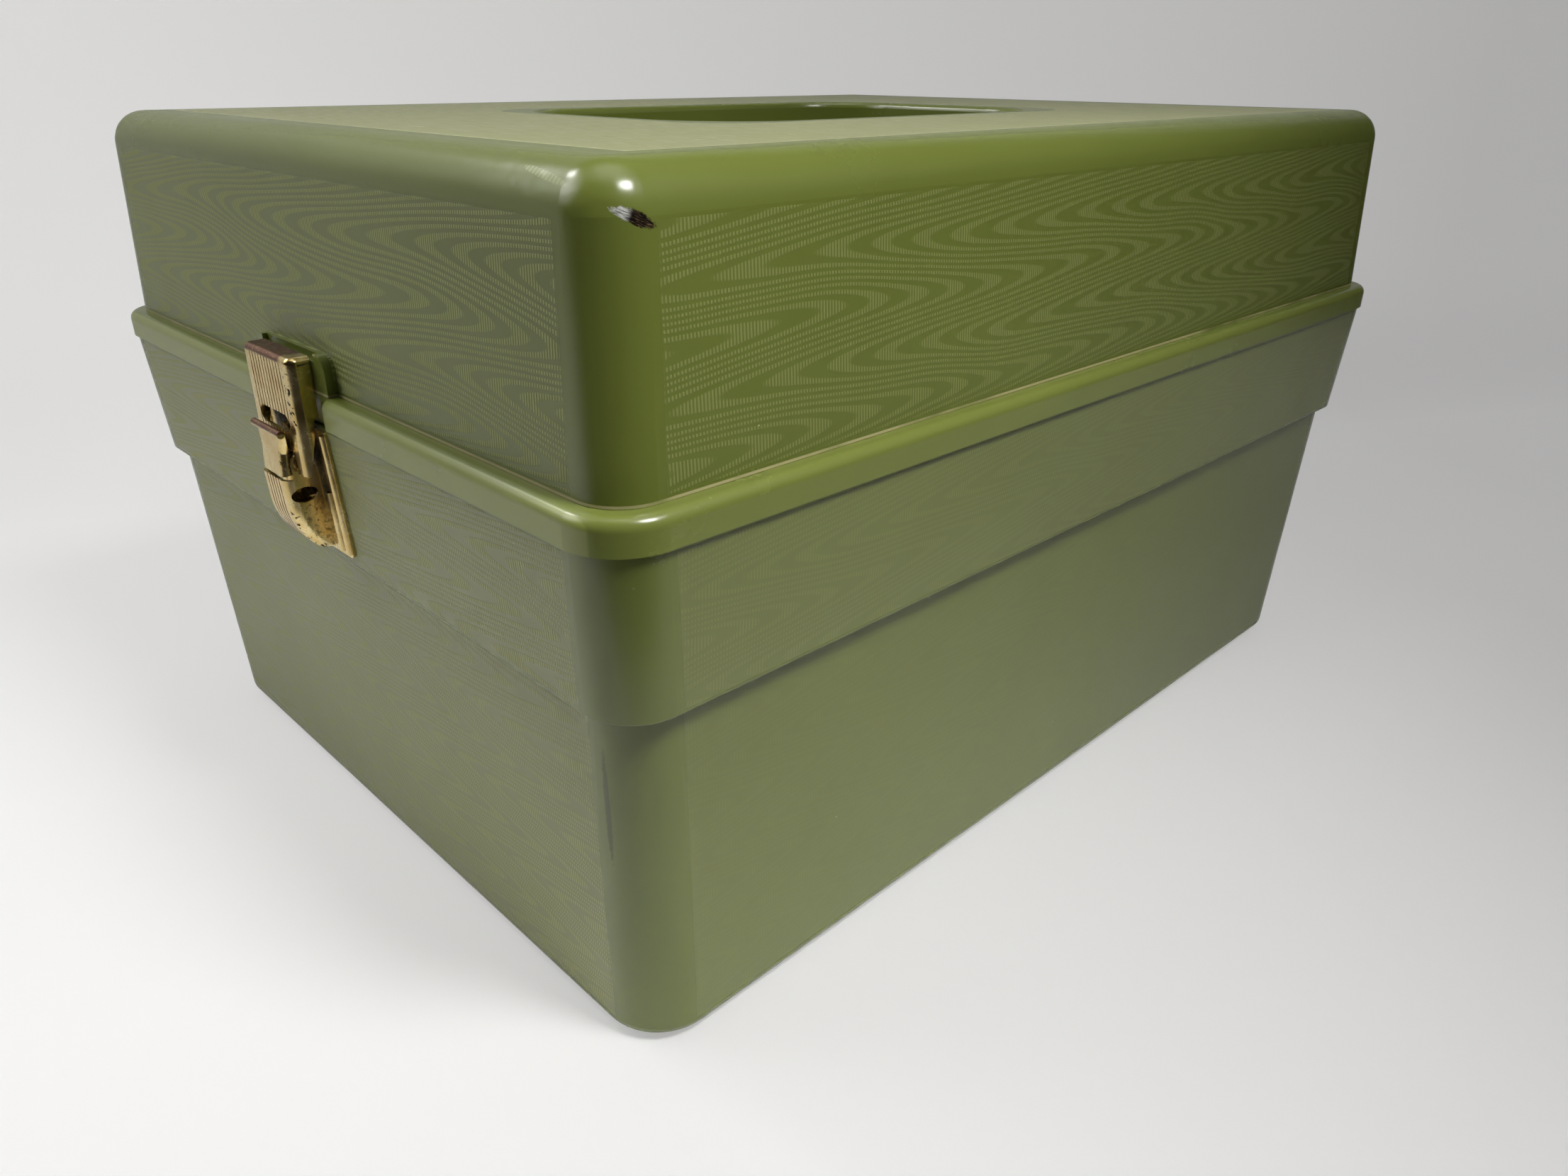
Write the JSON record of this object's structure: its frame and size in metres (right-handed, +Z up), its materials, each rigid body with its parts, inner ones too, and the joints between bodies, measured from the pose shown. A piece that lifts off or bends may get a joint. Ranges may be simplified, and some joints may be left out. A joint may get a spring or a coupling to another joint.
{
  "type": "plastic sewing box",
  "caption": "Moulded plastic sewing box with a hinged lid, a draw latch, a fold-flat carry handle and two lift-out trays.",
  "frame": {"origin": "centre of the base's flat underside", "axes": "+Z up, the latch faces -Y, the hinges are at +Y and the box is longest along Y"},
  "size_m": [0.2664, 0.3621, 0.1987],
  "materials": {
    "case_green": "gloss",
    "tray_plastic": "satin",
    "brass_plate": "satin",
    "steel": "satin"
  },
  "bodies": {
    "base": {"base_shell": "case_green", "latch_backplate": "brass_plate", "latch_pivot_studs": "brass_plate", "latch_rivets": "brass_plate", "hinge_left_base_leaf": "brass_plate", "hinge_left_pin": "steel", "hinge_left_base_rivets": "brass_plate", "hinge_right_base_leaf": "brass_plate", "hinge_right_pin": "steel", "hinge_right_base_rivets": "brass_plate"},
    "lid": {"lid_shell": "case_green", "handle_pin_front": "steel", "handle_pin_rear": "steel", "hinge_left_lid_leaf": "brass_plate", "hinge_left_lid_rivets": "brass_plate", "hinge_right_lid_leaf": "brass_plate", "hinge_right_lid_rivets": "brass_plate"},
    "handle": {"carry_handle": "case_green"},
    "lever": {"latch_lever": "brass_plate", "latch_hook_pin": "brass_plate"},
    "hook": {"latch_hook": "brass_plate"},
    "lower_tray_body": {"lower_tray": "tray_plastic"},
    "upper_tray_body": {"upper_tray": "tray_plastic"}
  },
  "joints": [
    {"name": "lid_hinge", "type": "hinge", "parent": "base", "child": "lid", "pos_m": [0, 0.1775, 0.1323], "axis": [-1, 0, 0], "range_deg": [0, 110]},
    {"name": "latch_lever_pivot", "type": "hinge", "parent": "base", "child": "lever", "pos_m": [0, -0.17791, 0.12205], "axis": [1, 0, 0], "range_deg": [0, 95]},
    {"name": "latch_hook_pivot", "type": "hinge", "parent": "lever", "child": "hook", "pos_m": [0, -0.1786, 0.12006], "axis": [1, 0, 0], "range_deg": [-76, 0]},
    {"name": "handle_pivot", "type": "hinge", "parent": "lid", "child": "handle", "pos_m": [0, 0, 0.1861], "axis": [0, -1, 0], "range_deg": [0, 180]},
    {"name": "lower_tray_lift", "type": "slide", "parent": "base", "child": "lower_tray_body", "axis": [0, 0, 1], "range_m": [0, 0.009]},
    {"name": "upper_tray_lift", "type": "slide", "parent": "lower_tray_body", "child": "upper_tray_body", "axis": [0, 0, 1], "range_m": [0, 0.019]}
  ],
  "couplings": [
    {"joint": "latch_hook_pivot", "follows": "latch_lever_pivot", "ratio": -0.8}
  ]
}
